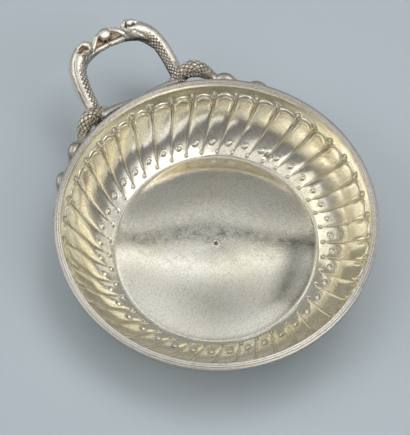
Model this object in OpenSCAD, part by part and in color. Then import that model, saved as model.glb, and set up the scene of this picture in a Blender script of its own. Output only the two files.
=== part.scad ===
// Tastevin: a shallow silver wine taster with a fluted bowl and a handle of two serpents that
// hold a bead between their jaws. The bowl stands on the table at z = 0 with its axis on Z,
// and the handle points along +Y.

/* [Bowl] */
// Diameter over the rim wire
rim_d = 80; // [74:1:92]
// Height of the rim above the table
bowl_h = 19.5; // [17.5:0.5:24]
// Thickness of the silver sheet
sheet_t = 0.8; // [0.6:0.1:1.2]
// Diameter of the floor, at the crease where the wall begins
floor_d = 54; // [48:1:58]
// Height of the middle of the floor above its crease
floor_rise = 1.5; // [0.6:0.1:2.5]
// Width of the flat ring under the crease that the bowl stands on
foot_w = 1.6; // [1:0.2:3]
// Lean of the wall from upright where it meets the rim
wall_lean = 14; // [8:1:18]
// Lean of the wall from upright where it meets the floor
wall_turn = 72.5; // [66:0.5:80]
// Diameter of the centre punch mark in the floor
punch_d = 1.2; // [0.6:0.1:2]
// Depth of the centre punch mark
punch_depth = 0.35; // [0.1:0.05:0.45]

/* [Flutes] */
// Number of flutes round the bowl
flute_n = 41; // [28:1:46]
// Depth of a flute below the ridges beside it
flute_depth = 0.7; // [0.3:0.1:1]
// Turn of a flute round the bowl from its arch to its foot, in degrees
flute_twist = 7; // [-14:1:14]
// Angle of the first ridge, from the bowl's right side
flute_start = 7.9; // [0:0.1:12]
// Depth of the tops of the arches below the rim
arch_top = 4.7; // [4.2:0.1:5.6]
// Depth of the notches between the arches below the rim
arch_notch = 7.6; // [6.6:0.1:8.6]
// Height of the ridges' feet above the floor's crease
ridge_foot = 0.4; // [0.2:0.1:1]

/* [Rim] */
// Width of the rim wire across its reeds
wire_w = 1.7; // [1.4:0.1:2.2]
// Height of the rim wire
wire_h = 1.6; // [1.2:0.1:2]
// Number of reeds along the wire
reed_n = 3; // [2:1:4]
// Overhang of the wire past the outside of the sheet
wire_over = 0.25; // [0.1:0.05:0.4]
// Thickness of the solder seam under the wire
seam_t = 0.1; // [0.05:0.05:0.2]

/* [Serpents] */
// Distance of the left leg's centre line from the handle's axis
left_w = 12.1; // [10.5:0.1:14]
// Distance of the right leg's centre line from the handle's axis
right_w = 12.7; // [10.5:0.1:14]
// Distance from the bowl's rim to the middle of the bead
loop_reach = 18.8; // [17:0.2:23]
// Height of the bead above the rim
loop_rise = 4.5; // [1:0.5:7]
// Squareness of the loop: 1 is an ellipse, less is squarer
loop_square = 0.52; // [0.46:0.02:0.7]
// Thickness of a serpent's body
body_d = 4.2; // [3.6:0.1:4.8]
// Thickness of a tail where it leaves the leg
tail_d = 3.3; // [2.6:0.1:3.6]
// Angle from the handle's axis to the tip of a tail
tail_end = 65; // [56:1:76]
// Diameter of the bead
bead_d = 3.2; // [2.8:0.1:3.6]
// Gap left for solder where the lower jaws meet
jaw_gap = 0.3; // [0.1:0.1:0.6]
// Clearance where a serpent is fitted to the bowl, the rim or the bead
fit_gap = 0.03; // [0.01:0.01:0.08]

/* [Hidden] */
$fn = 96;

function unit(v) = v / norm(v);
function mix(a, b, t) = a + (b - a) * t;
function clamp01(t) = max(0, min(1, t));

// Bowl section, as [radius, height]: the inner face of the wall is one smooth curve from the lip
// to the crease of the floor, steered by the point where the tangents at its ends cross
rim_r = rim_d / 2;
floor_r = floor_d / 2;
lip_z = bowl_h - wire_h - seam_t;
out_r = rim_r - wire_over;
wall_r = out_r - sheet_t / cos(wall_lean);
lip = [wall_r, lip_z];
crease = [floor_r, sheet_t];
chord = atan((wall_r - floor_r) / (lip_z - sheet_t));
lean = min(wall_lean, chord * 0.7);
turn = max(wall_turn, chord + 12);
steer_len = ((wall_r - floor_r) * cos(turn) - (lip_z - sheet_t) * sin(turn)) / sin(lean - turn);
steer = lip - steer_len * [sin(lean), cos(lean)];

// A point of the wall and its outward normal at a share t of the curve, and the share at a height
function wall_point(t) = pow(1 - t, 2) * lip + 2 * t * (1 - t) * steer + t * t * crease;
function wall_normal(t) = let (d = (1 - t) * (steer - lip) + t * (crease - steer)) unit([-d[1], d[0]]);
bend_z = lip[1] - 2 * steer[1] + crease[1];
fall_z = lip[1] - steer[1];
function wall_share(z) = (fall_z - sqrt(fall_z * fall_z - bend_z * (lip[1] - z))) / bend_z;

// Columns in one flute, stations down a flute and stations across the floor
flute_steps = 4;
columns = flute_n * flute_steps;
stations = [0, 0.07, 0.17, 0.32, 0.5, 0.68, 0.84, 0.94, 1];
floor_steps = [1 / 3, 2 / 3];
top_t = wall_share(bowl_h - arch_top);
notch_t = wall_share(bowl_h - arch_notch);
foot_t = wall_share(sheet_t + ridge_foot);

// A flute sinks outward from the wall by the rest of its depth that the ridges don't rise inward
ridge_share = 0.6;
flute_crown = 0.8;
rise_share = 0.15;
fall_share = 0.82;
flute_out = flute_depth * (1 - ridge_share);

// Along a flute, p runs from ridge to ridge and v from the arch to the foot
function arch_t(p) = mix(notch_t, top_t, sqrt(1 - pow(2 * p - 1, 2)));
function flute_t(p, v) = mix(arch_t(p), foot_t, v);
function flute_fade(v) = v < rise_share ? sin(90 * v / rise_share)
    : v > fall_share ? cos(75 * (v - fall_share) / (1 - fall_share)) : 1;
function flute_relief(p, v) = flute_depth * (pow(sin(180 * p), flute_crown) - ridge_share) * flute_fade(v);
function twist_at(t) = flute_twist * clamp01((t - notch_t) / (foot_t - notch_t));

function around(section, angle) = [section[0] * cos(angle), section[0] * sin(angle), section[1]];
function column_angle(i) = flute_start + 360 * i / columns;
function column_phase(i) = (i % flute_steps) / flute_steps;
function plain_ring(section, twist) = [for (i = [0 : columns - 1]) around(section, column_angle(i) + twist)];
function flute_ring(v, offset) = [for (i = [0 : columns - 1])
    let (p = column_phase(i), t = flute_t(p, v), depth = offset + flute_relief(p, v))
    around(wall_point(t) + depth * wall_normal(t), column_angle(i) + twist_at(t))];
function dome_z(r) = floor_rise * (1 - pow(r / floor_r, 2));

// Triangles between neighbouring rings of n points, and fans that close the first and last ring
function ring_faces(rings, n) = [for (j = [0 : rings - 2], i = [0 : n - 1])
    let (a = j * n + i, b = j * n + (i + 1) % n) each [[a, b, b + n], [a, b + n, a + n]]];
function end_fans(rings, n) = [for (i = [0 : n - 1]) each [
    [(i + 1) % n, i, rings * n],
    [(rings - 1) * n + i, (rings - 1) * n + (i + 1) % n, rings * n + 1]]];

module lathe(rings, first_end, last_end) {
    count = len(rings);
    n = len(rings[0]);
    polyhedron(points = [for (ring = rings) each ring, first_end, last_end],
        faces = concat(ring_faces(count, n), end_fans(count, n)));
}

// The bowl, raised from one disc of sheet and chased, so both faces carry the flutes
module bowl() {
    under_r = floor_r - foot_w;
    under_step = sheet_t;
    inside = concat(
        [for (s = floor_steps) plain_ring([floor_r * s, sheet_t + dome_z(floor_r * s)], flute_twist)],
        [plain_ring(crease, flute_twist)],
        [for (j = [len(stations) - 1 : -1 : 0]) flute_ring(stations[j], 0)],
        [plain_ring(lip, 0)]);
    outside = concat(
        [plain_ring([out_r, lip_z], 0)],
        [for (v = stations) flute_ring(v, sheet_t)],
        [plain_ring([floor_r + sheet_t * wall_normal(1)[0], 0], flute_twist)],
        [plain_ring([under_r, 0], flute_twist)],
        [plain_ring([under_r - under_step, dome_z(under_r - under_step)], flute_twist)],
        [for (j = [len(floor_steps) - 1 : -1 : 0])
            plain_ring([floor_r * floor_steps[j], dome_z(floor_r * floor_steps[j])], flute_twist)]);
    color([0.78, 0.76, 0.68]) difference() {
        lathe(concat(inside, outside), [0, 0, sheet_t + floor_rise], [0, 0, floor_rise]);
        translate([0, 0, sheet_t + floor_rise - punch_depth])
            cylinder(d1 = punch_d / 3, d2 = punch_d, h = punch_depth + fit_gap);
    }
}

// The reeded wire that is soldered on the bowl's lip
module rim_wire() {
    reed_r = wire_w / (2 * reed_n);
    color([0.86, 0.85, 0.8]) rotate_extrude() {
        translate([rim_r - wire_w, bowl_h - wire_h]) square([wire_w, wire_h - reed_r]);
        for (i = [0 : reed_n - 1])
            translate([rim_r - wire_w + reed_r * (2 * i + 1), bowl_h - reed_r]) circle(reed_r);
    }
}

// The solder seam between the lip and the wire, with a small fillet under the overhang
module rim_solder() {
    fillet = wire_over * 0.75;
    color([0.7, 0.69, 0.64]) rotate_extrude()
        polygon([[wall_r, lip_z], [out_r, lip_z],
            [out_r + fillet, lip_z + seam_t], [wall_r, lip_z + seam_t]]);
}

// Where the handle lies: a plane that rises outward from the foot of the legs
body_r = body_d / 2;
bead_r = bead_d / 2;
leg_r = rim_r + body_r / 3;
leg_z = bowl_h - 1.52 * body_r;
bead_at = [0, rim_r + loop_reach, bowl_h + loop_rise];
loop_u = loop_reach - 0.9 * body_r;
loop_tilt = (bead_at[2] - leg_z) / (bead_at[1] - leg_r);
plane_up = unit([0, -loop_tilt, 1]);
plane_out = unit([0, 1, loop_tilt]);

// A serpent's centre line: the foot on the wall, then a superellipse round to the skull
head_turn = 74;
body_steps = 24;
foot_in = body_r * [0.48, 0.71, 0.9];
function loop_point(t, half_w) = let (u = loop_u * pow(sin(t), loop_square))
    [half_w * pow(cos(t), loop_square), leg_r + u, leg_z + loop_tilt * u];
function body_turn(i) = head_turn * pow(i / body_steps, 1.6);
function body_path(half_w) = concat(
    [for (s = [1, 0.45]) [half_w, leg_r, leg_z] - s * foot_in],
    [for (i = [0 : body_steps]) loop_point(body_turn(i), half_w)]);
function body_radius(k, count) = body_r * mix(0.94, 1.1, k / count);

// Share of the thickness that each serpent was filed down to between its foot and its neck
left_slim = 1.02;
right_slim = 0.93;
function slim_at(k, count, slim) = mix(1, slim, sin(180 * k / count));

// A tail's centre line, by the angle from the handle's axis: a hump beside the leg, then waves
// along the wall. A serpent's hump is [middle, half width, depth of its start, height, reach,
// angle of the first wave's top, depth of the waves' middle], with lengths in tail radii
left_hump = [19.5, 10, 1.94, 2.18, 0.91, 31.5, 2.42];
right_hump = [22, 10.5, 2.06, 2.73, 1.03, 33.5, 1.82];
tail_start = 9.5;
tail_steps = 52;
wave_pitch = 13;
wave_hug = 0.45;
tail_r = tail_d / 2;
wave_height = 1.15 * tail_r;
function hump_share(a, hump) = abs(a - hump[0]) < hump[1] ? pow(cos(90 * (a - hump[0]) / hump[1]), 2) : 0;
function tail_share(a) = (a - tail_start) / (tail_end - tail_start);
function tail_radius(a) = tail_r * min(0.35 + 0.2 * (a - tail_start), 1,
    1.12 * pow(1 - tail_share(a), 0.6) + 0.12);
function wave_depth(a, hump) = tail_r * hump[6]
    - wave_height * cos(360 * (a - hump[5]) / wave_pitch) * min(1, 1.6 * (1 - tail_share(a)) + 0.2);
function tail_depth(a, hump) =
    mix(tail_r * hump[2], wave_depth(a, hump), pow(clamp01((a - hump[0]) / hump[1]), 2))
    - tail_r * hump[3] * hump_share(a, hump);
function tail_point(a, hump) = let (depth = tail_depth(a, hump),
    reach = tail_radius(a) + tail_r * hump[4] * hump_share(a, hump),
    r = rim_r + fit_gap + reach - wave_hug * max(0, depth - wire_h))
    [r * sin(a), r * cos(a), bowl_h - depth];
function tail_angle(i) = mix(tail_start, tail_end, i / tail_steps);

// A round tube along a path, with its rings square to the path and each half a step behind the last
function path_way(path, k) = unit(path[min(k + 1, len(path) - 1)] - path[max(k - 1, 0)]);
function tube_ring(path, k, r, up, sides) =
    let (t = path_way(path, k), s = unit(cross(t, up)), n = cross(s, t))
    [for (j = [0 : sides - 1]) let (angle = 360 * (j - k / 2) / sides)
        path[k] + r * (cos(angle) * s + sin(angle) * n)];

module tube(path, radii, up, sides) {
    last = len(path) - 1;
    lathe([for (k = [0 : last]) tube_ring(path, k, radii[k], up, sides)], path[0], path[last]);
}

// A stretch of flesh along balls, given as [centre, radius]
ball_sides = 12;
module flesh(balls) {
    for (k = [0 : len(balls) - 2]) hull() {
        translate(balls[k][0]) sphere(balls[k][1], $fn = ball_sides);
        translate(balls[k + 1][0]) sphere(balls[k + 1][1], $fn = ball_sides);
    }
}

// A ball in the handle's plane: w to the side, u outward from the bead, h above the plane,
// and its radius, all in radii of the body
function ball(w, u, h, r) = [bead_at + body_r * ([w, 0, 0] + u * plane_out + h * plane_up), body_r * r];

// The head: skull and snout, brow with its hook over the eye, curled lip, and the jaw's hinge
jaw_side = ball(2.57, -1.52, -0.19, 0.5);
module head(half_w) {
    skull = [loop_point(head_turn, half_w), body_r * 1.1];
    hinge = ball(3.9, -1.95, -0.14, 0.72);
    flesh([skull, ball(2.71, -0.57, 0.1, 0.66)]);
    flesh([ball(4.24, -0.71, 0.71, 0.3), ball(3.62, -0.14, 0.76, 0.34), ball(2.9, 0, 0.71, 0.36),
        ball(2.57, -0.33, 0.62, 0.3)]);
    flesh([ball(2.38, -1.05, 0.24, 0.34), ball(1.9, -0.43, 0.43, 0.3), ball(1.48, -0.05, 0.38, 0.28),
        ball(0.9, 0.14, 0.24, 0.24)]);
    flesh([hinge, jaw_side]);
    flesh([skull, hinge]);
}

// The two lower jaws as one strap across the middle, and the mouth's floor under the bead
module jaw_cradle() {
    front = ball(0, -1.31, -0.24, 0.36);
    back = ball(0, -0.24, -0.71, 0.42);
    difference() {
        for (m = [0, 1]) mirror([m, 0, 0]) {
            flesh([jaw_side, front]);
            flesh([front, back]);
            flesh([jaw_side, back]);
        }
        translate(bead_at) sphere(bead_r + fit_gap, $fn = 48);
    }
}

// What a serpent is fitted to: the outside of the bowl, its flutes and the rim wire
module bowl_outside() {
    turn_steps = 8;
    wire_low = lip_z - fit_gap;
    function skin(t) = wall_point(t) + (sheet_t + fit_gap + flute_out * sin(90 * t)) * wall_normal(t);
    rotate_extrude($fn = 180) polygon(concat(
        [[0, bowl_h + fit_gap], [rim_r + fit_gap, bowl_h + fit_gap], [rim_r + fit_gap, wire_low],
            [out_r + fit_gap, wire_low]],
        [for (k = [0 : turn_steps]) skin(k / turn_steps)],
        [[0, 0]]));
}

// One serpent on the +X side: body, head, jaw and tail in one casting
module serpent(half_w, slim, hump) {
    path = body_path(half_w);
    last = len(path) - 1;
    radii = [for (k = [0 : last]) body_radius(k, last) * slim_at(k, last, slim)];
    tail = [for (i = [0 : tail_steps]) tail_point(tail_angle(i), hump)];
    difference() {
        union() {
            tube(path, radii, plane_up, 14);
            tube(tail, [for (i = [0 : tail_steps]) tail_radius(tail_angle(i))], [0, 0, 1], 10);
            head(half_w);
            jaw_cradle();
        }
        bowl_outside();
        translate(bead_at) sphere(bead_r + fit_gap, $fn = 48);
        translate([jaw_gap / 2 - rim_d, 0, 0]) cube([rim_d, 2 * rim_d, 4 * bowl_h]);
    }
}

// The serpents are cast and chased, and mirror each other but for the width and the first hump
module left_serpent() {
    color([0.72, 0.7, 0.63]) mirror([1, 0, 0]) serpent(left_w, left_slim, left_hump);
}

module right_serpent() {
    color([0.72, 0.7, 0.63]) serpent(right_w, right_slim, right_hump);
}

// The bead that both serpents bite
module bead() {
    color([0.85, 0.84, 0.8]) translate(bead_at) sphere(bead_r);
}

// The solder that fills the gap between the lower jaws
module jaw_solder() {
    color([0.55, 0.42, 0.28]) intersection() {
        jaw_cradle();
        translate([-jaw_gap / 2, 0, 0]) cube([jaw_gap, 2 * rim_d, 4 * bowl_h]);
    }
}

// The smooth wedge of solder that runs from inside a leg's foot along the wall towards the middle
solder_steps = 8;
solder_in = 2;
solder_to = 3.5;
solder_thick = 0.9 * body_r;
solder_thin = 0.3 * body_r;
solder_out = 0.8;
solder_proud = 0.33 * body_r;
function solder_ball(i, half_w) =
    let (t = i / solder_steps, a = mix(atan(half_w / leg_r) - solder_in, solder_to, t),
        r = mix(solder_thick, solder_thin, t), out = rim_r + solder_out * r)
    [[out * sin(a), out * cos(a), bowl_h + solder_proud - solder_thick], r];

module foot_solder(half_w, slim, hump) {
    difference() {
        flesh([for (i = [0 : solder_steps]) solder_ball(i, half_w)]);
        bowl_outside();
        serpent(half_w, slim, hump);
    }
}

module left_foot_solder() {
    color([0.45, 0.44, 0.41]) mirror([1, 0, 0]) foot_solder(left_w, left_slim, left_hump);
}

module right_foot_solder() {
    color([0.45, 0.44, 0.41]) foot_solder(right_w, right_slim, right_hump);
}

bowl();
rim_wire();
rim_solder();
left_serpent();
right_serpent();
bead();
jaw_solder();
left_foot_solder();
right_foot_solder();
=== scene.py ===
import math

import bpy
import numpy as np
from mathutils import Matrix


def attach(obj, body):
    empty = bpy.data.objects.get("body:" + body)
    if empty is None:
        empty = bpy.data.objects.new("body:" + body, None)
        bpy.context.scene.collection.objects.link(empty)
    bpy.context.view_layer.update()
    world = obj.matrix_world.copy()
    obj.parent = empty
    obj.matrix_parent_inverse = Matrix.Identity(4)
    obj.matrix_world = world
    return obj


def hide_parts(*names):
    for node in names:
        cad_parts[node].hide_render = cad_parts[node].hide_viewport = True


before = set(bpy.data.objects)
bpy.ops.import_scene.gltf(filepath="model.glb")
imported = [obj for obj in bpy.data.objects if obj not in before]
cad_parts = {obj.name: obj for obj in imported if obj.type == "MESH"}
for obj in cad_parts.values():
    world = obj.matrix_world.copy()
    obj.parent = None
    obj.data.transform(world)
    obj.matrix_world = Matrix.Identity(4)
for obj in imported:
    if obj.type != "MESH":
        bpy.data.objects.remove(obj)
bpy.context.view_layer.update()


# Camera. The cup was seen from above its near side, a hand and a half away, with the handle
# towards the far left of the picture.
camera = bpy.data.objects.new("camera", bpy.data.cameras.new("camera"))
camera.data.lens = 82.76
camera.data.sensor_width = 36.0
camera.data.clip_start = 0.01
camera.location = (-0.05693, -0.09474, 0.23927)
camera.rotation_euler = [math.radians(turn) for turn in (26.466, 0.255, -30.054)]
bpy.context.scene.collection.objects.link(camera)
bpy.context.scene.camera = camera


# Table. A plain pale blue-grey board with a matt coat of paint, laid flat. The cup stands loose on
# it, on the ring round its floor.
def place(tree, kind, settings=None, **inputs):
    """Adds a node, sets its properties and its sockets by name or number, and joins linked ones."""
    node = tree.nodes.new(kind)
    for name, value in (settings or {}).items():
        setattr(node, name, value)
    for name, value in inputs.items():
        number = name[1:]
        socket = node.inputs[int(number) if number.isdigit() else name.replace("_", " ")]
        if isinstance(value, bpy.types.NodeSocket):
            tree.links.new(value, socket)
        else:
            socket.default_value = value
    return node


def blend(tree, share, first, second):
    """A colour between two colours."""
    mix = place(tree, "ShaderNodeMix", {"data_type": "RGBA"}, n0=share, n6=first, n7=second)
    return mix.outputs[2]


def noise(tree, spot, size, detail, roughness=0.5):
    """A cloudy value at each spot."""
    cloud = place(tree, "ShaderNodeTexNoise", Vector=spot, Scale=size, Detail=detail)
    cloud.inputs["Roughness"].default_value = roughness
    return cloud.outputs[0]


def new_material(name, metallic, roughness=0.5):
    """An empty node material with its Principled shader."""
    material = bpy.data.materials.new(name)
    material.use_nodes = True
    shader = material.node_tree.nodes["Principled BSDF"]
    shader.inputs["Metallic"].default_value = metallic
    shader.inputs["Roughness"].default_value = roughness
    return material, material.node_tree, shader


table_half = 0.9
corner_ways = ((-1, -1), (1, -1), (1, 1), (-1, 1))
table_corners = [(x * table_half, y * table_half, 0.0) for x, y in corner_ways]
table_grey, table_pale = (0.505, 0.57, 0.615, 1), (0.535, 0.60, 0.645, 1)
table_mesh = bpy.data.meshes.new("table")
table_mesh.from_pydata(table_corners, [], [(0, 1, 2, 3)])
table = bpy.data.objects.new("table", table_mesh)
bpy.context.scene.collection.objects.link(table)
table_paint, tree, shader = new_material("table_paint", metallic=0.0, roughness=0.7)
spot = place(tree, "ShaderNodeTexCoord").outputs["Object"]
cloud = noise(tree, spot, size=9.0, detail=3.0)
tree.links.new(blend(tree, cloud, table_grey, table_pale), shader.inputs["Base Color"])
table_mesh.materials.append(table_paint)


# Light. A pale room with bright and dark bands overhead, dim sides, and a bright ring that the
# foot of the cup's wall throws back. Three windows and a near lamp show in the silver only, and
# eight soft lamps round about light the table alone.
def reckon(tree, operation, *values):
    """One step of arithmetic on sockets or numbers, kept between 0 and 1 where it is named so."""
    settings = {"operation": operation.replace("_01", ""), "use_clamp": operation.endswith("_01")}
    numbered = {f"n{k}": value for k, value in enumerate(values)}
    return place(tree, "ShaderNodeMath", settings, **numbered).outputs[0]


def remap(tree, value, low, high, to_low=0.0, to_high=1.0):
    """A value carried from one range to another, and held at its ends."""
    ranged = place(tree, "ShaderNodeMapRange", n0=value, n1=low, n2=high, n3=to_low, n4=to_high)
    return ranged.outputs[0]


def combine(tree, operation, first, second):
    """The node for one step of arithmetic on two directions."""
    return place(tree, "ShaderNodeVectorMath", {"operation": operation}, n0=first, n1=second)


scene_world = bpy.data.worlds.new("room")
bpy.context.scene.world = scene_world
scene_world.use_nodes = True
scene_world.cycles_visibility.diffuse = False
tree = scene_world.node_tree
way = place(tree, "ShaderNodeTexCoord").outputs["Generated"]
height = place(tree, "ShaderNodeSeparateXYZ", Vector=way).outputs["Z"]
ahead = combine(tree, "DOT_PRODUCT", way, (0.515, 0.857, 0.0)).outputs["Value"]
rightward = combine(tree, "DOT_PRODUCT", way, (0.857, -0.515, 0.0)).outputs["Value"]
cool_red, cool_green = 0.97, 0.995


def tones(where, stops):
    """A run of grey tones over a value that goes from 0 to 1."""
    ramp = place(tree, "ShaderNodeValToRGB", Fac=where)
    ramp.color_ramp.interpolation = "EASE"
    for _ in stops[2:]:
        ramp.color_ramp.elements.new(0.5)
    for stop, (position, tone) in zip(ramp.color_ramp.elements, stops):
        stop.position, stop.color = position, (tone * cool_red, tone * cool_green, tone, 1)
    return ramp.outputs["Color"]


walls = tones(height, ((0.0, 0.20), (0.45, 0.30), (0.65, 0.40)))
ceiling_start, ceiling_end = -0.6, 0.8
ceiling_long = ceiling_end - ceiling_start
ceiling_tones = (
    (-0.6, 0.37), (-0.3, 0.42), (-0.12, 0.52), (0.0, 0.90), (0.30, 0.70), (0.345, 0.82),
    (0.375, 1.15), (0.395, 1.15), (0.412, 0.75), (0.422, 0.40), (0.432, 0.10), (0.447, 0.02),
    (0.451, 0.10), (0.456, 0.64), (0.47, 0.74), (0.495, 0.52), (0.535, 0.34), (0.60, 0.31),
    (0.65, 0.25), (0.70, 0.32), (0.76, 0.45),
)
ceiling_stops = [((at - ceiling_start) / ceiling_long, tone) for at, tone in ceiling_tones]
ceiling = tones(remap(tree, ahead, ceiling_start, ceiling_end), ceiling_stops)
room = blend(tree, remap(tree, height, 0.55, 0.68), walls, ceiling)

# the ring: it stays fixed in the room, and was laid out for the place that the cup was seen from,
# so that the steep foot of the wall mirrors it towards there
seen_from, ring_tone = (-0.216, -0.359, 0.908), (1.08, 1.08, 1.08, 1)
halfway = combine(tree, "ADD", way, seen_from).outputs[0]
halfway = place(tree, "ShaderNodeVectorMath", {"operation": "NORMALIZE"}, n0=halfway).outputs[0]
halfway = place(tree, "ShaderNodeSeparateXYZ", Vector=halfway).outputs["Z"]
ring = remap(tree, ahead, 0.1, -0.1)
for dark_at, bright_at in ((0.795, 0.83), (0.94, 0.91)):
    ring = reckon(tree, "MULTIPLY", ring, remap(tree, halfway, dark_at, bright_at))
room = blend(tree, ring, room, ring_tone)
tree.links.new(room, tree.nodes["Background"].inputs["Color"])

# the far side is brighter than the near side; a dark post and a dim patch lie overhead
away = combine(tree, "DOT_PRODUCT", way, (0.2, 0.98, 0.0)).outputs["Value"]
brightness = remap(tree, away, -0.8, 0.8, 0.68, 1.1)
post_slant, post_at, post_half, post_tone = -0.275, 0.16, 0.11, 0.22
post = reckon(tree, "MULTIPLY_ADD", ahead, post_slant, rightward)
post = reckon(tree, "ABSOLUTE", reckon(tree, "SUBTRACT", post, post_at))
post = remap(tree, post, 0.0, post_half, post_tone, 1.0)
for end_at, gone_at in ((0.44, 0.455), (0.26, 0.19)):
    post = reckon(tree, "MAXIMUM", post, remap(tree, ahead, end_at, gone_at))
patch = combine(tree, "DISTANCE", way, (0.132, 0.2005, 0.97)).outputs["Value"]
patch = remap(tree, patch, 0.02, 0.17, 0.6, 1.0)
brightness = reckon(tree, "MULTIPLY", brightness, reckon(tree, "MULTIPLY", post, patch))
tree.links.new(brightness, tree.nodes["Background"].inputs["Strength"])


def soft_light(name, place_at, width, depth, power, colour):
    """A rectangular soft light that faces the cup."""
    lamp = bpy.data.lights.new(name, "AREA")
    lamp.shape, lamp.size, lamp.size_y = "RECTANGLE", width, depth
    lamp.energy, lamp.color = power, colour
    holder = bpy.data.objects.new(name, lamp)
    start = np.array(place_at)
    fore = -start / np.linalg.norm(start)
    side = np.cross(fore, (0, 0, 1))
    side /= np.linalg.norm(side)
    turns = np.array([side, np.cross(side, fore), -fore]).T
    rows = [(*row, at) for row, at in zip(turns, start)]
    holder.matrix_world = Matrix(rows + [(0, 0, 0, 1)])
    bpy.context.scene.collection.objects.link(holder)
    return holder


for setting in (
    ("left_window", (-0.55, 0.48, 0.49), 0.85, 0.45, 0.85, (1.0, 0.98, 0.95)),
    ("right_window", (0.80, -0.01, 0.43), 0.50, 0.34, 0.28, (1.0, 0.98, 0.95)),
    ("near_window", (-0.15, -0.90, 0.25), 1.10, 0.16, 0.48, (1.0, 0.98, 0.95)),
    ("near_lamp", (0.24, -0.39, 0.93), 0.70, 0.50, 1.5, (1.0, 0.98, 0.94)),
):
    soft_light(*setting).visible_diffuse = False
lamp_away, lamp_wide, lamp_deep, white = 0.75, 0.45, 0.30, (1.0, 1.0, 1.0)
table_lamps = (
    (300, 22, 0.57), (300, 45, 1.04), (150, 45, 0.82), (180, 45, 0.53),
    (60, 45, 0.18), (0, 70, 1.55), (120, 70, 0.85), (60, 70, 0.51),
)
for bearing, elevation, power in table_lamps:
    lamp_turn, lamp_rise = math.radians(bearing), math.radians(elevation)
    level, lamp_z = lamp_away * math.cos(lamp_rise), lamp_away * math.sin(lamp_rise)
    lamp_at = (level * math.cos(lamp_turn), level * math.sin(lamp_turn), lamp_z)
    lamp = soft_light("table_lamp", lamp_at, lamp_wide, lamp_deep, power, white)
    lamp.visible_glossy = False
bpy.context.scene.view_settings.view_transform = "Standard"


# Bowl. Silver sheet, raised from one disc over stakes. The flutes, their arches, the pearls and
# the punch mark in the domed floor were chased by hand, so no two flutes are quite alike.
MM = 0.001
rim_r, rim_z, sheet = 40.0, 19.5, 0.8
lip_r, lip_z, floor_r = 38.925, 17.8, 27.0
lean, turn = math.radians(14), math.radians(72.5)
flute_count, flute_columns = 41, 28
twist, first_ridge = math.radians(7), math.radians(7.9)
notch_below, arch_below = 7.6, 4.7
band_count, run_count, foot_count = 30, 66, 10
ridge_high, hollow_deep, ring_deep = 0.16, 0.09, 0.10
line_high, line_wide, pit_deep = 0.16, 0.17, 0.28
foot_out, foot_soft, bend_slope, bend_fill = 0.55, 1.4, 0.36, 0.3
dome_rise, punch_r, punch_deep, stand_r = 1.5, 0.6, 0.45, 25.3
tiny = 1e-6
chance = np.random.default_rng(41)


def ease(low, high, x):
    """0 below low, 1 above high, and smooth between."""
    share = np.clip((x - low) / (high - low), 0, 1)
    return share * share * (3 - 2 * share)


def swell(x, width):
    """A smooth bell of height 1."""
    return np.exp(-((x / width) ** 2))


lip, crease = np.array([lip_r, lip_z]), np.array([floor_r, sheet])
steer_len = (lip_r - floor_r) * math.cos(turn) - (lip_z - sheet) * math.sin(turn)
steer_len /= math.sin(lean - turn)
steer = lip - steer_len * np.array([math.sin(lean), math.cos(lean)])


def wall_point(t):
    """Radius and height of the wall's inner face at a share t from the lip to the crease."""
    t = np.asarray(t)[..., None]
    return (1 - t) ** 2 * lip + 2 * t * (1 - t) * steer + t * t * crease


def wall_normal(t):
    """The way out of the wall there."""
    t = np.asarray(t)[..., None]
    along = (1 - t) * (steer - lip) + t * (crease - steer)
    out = np.stack([-along[..., 1], along[..., 0]], -1)
    return out / np.linalg.norm(out, axis=-1, keepdims=True)


fine_t = np.linspace(0, 1, 2001)
fine_wall = wall_point(fine_t)
fine_run = np.concatenate([[0], np.cumsum(np.linalg.norm(np.diff(fine_wall, axis=0), axis=1))])


def share_at_height(z):
    """The share down the wall at a height."""
    return np.interp(-np.asarray(z, float), -fine_wall[:, 1], fine_t)


def run_at(t):
    """Distance down the wall from the lip."""
    return np.interp(t, fine_t, fine_run)


def solid_of_rings(rings, first_end, last_end):
    """A closed mesh through rings of points, with a point at each end: points, quads, fans."""
    count, columns = rings.shape[:2]
    points = np.concatenate([rings.reshape(-1, 3), [first_end, last_end]])
    near = np.arange(count * columns).reshape(count, columns)
    beside = np.roll(near, -1, axis=1)
    quads = np.stack([near[:-1], near[1:], beside[1:], beside[:-1]], -1).reshape(-1, 4)
    first_fan = np.stack([np.full(columns, count * columns), near[0], beside[0]], -1)
    last_fan = np.stack([np.full(columns, count * columns + 1), beside[-1], near[-1]], -1)
    return points, quads, np.concatenate([first_fan, last_fan])


def shape_mesh(name, points, *face_sets):
    """A mesh from an array of points in millimetres and arrays of faces."""
    mesh = bpy.data.meshes.new(name)
    mesh.vertices.add(len(points))
    mesh.vertices.foreach_set("co", (np.asarray(points) * MM).astype(np.float32).ravel())
    corners = np.concatenate([faces.ravel() for faces in face_sets])
    sizes = np.concatenate([np.full(len(faces), faces.shape[1]) for faces in face_sets])
    mesh.loops.add(len(corners))
    mesh.loops.foreach_set("vertex_index", corners.astype(np.int32))
    mesh.polygons.add(len(sizes))
    mesh.polygons.foreach_set("loop_start", (np.cumsum(sizes) - sizes).astype(np.int32))
    mesh.update(calc_edges=True)
    mesh.polygons.foreach_set("use_smooth", np.ones(len(sizes), bool))
    return mesh


def mark(mesh, name, values):
    """Keeps a number for each vertex, for the material to read."""
    layer = mesh.attributes.new(name, "FLOAT", "POINT")
    layer.data.foreach_set("value", np.asarray(values, np.float32))


def carry(name, mesh, material, slot, *nodes):
    """Puts a piece in the scene on the cup's one body, in the place of its CAD nodes."""
    mesh.materials.append(material)
    piece = bpy.data.objects.new(name, mesh)
    bpy.context.scene.collection.objects.link(piece)
    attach(piece, "root")
    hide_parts(*nodes)


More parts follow.
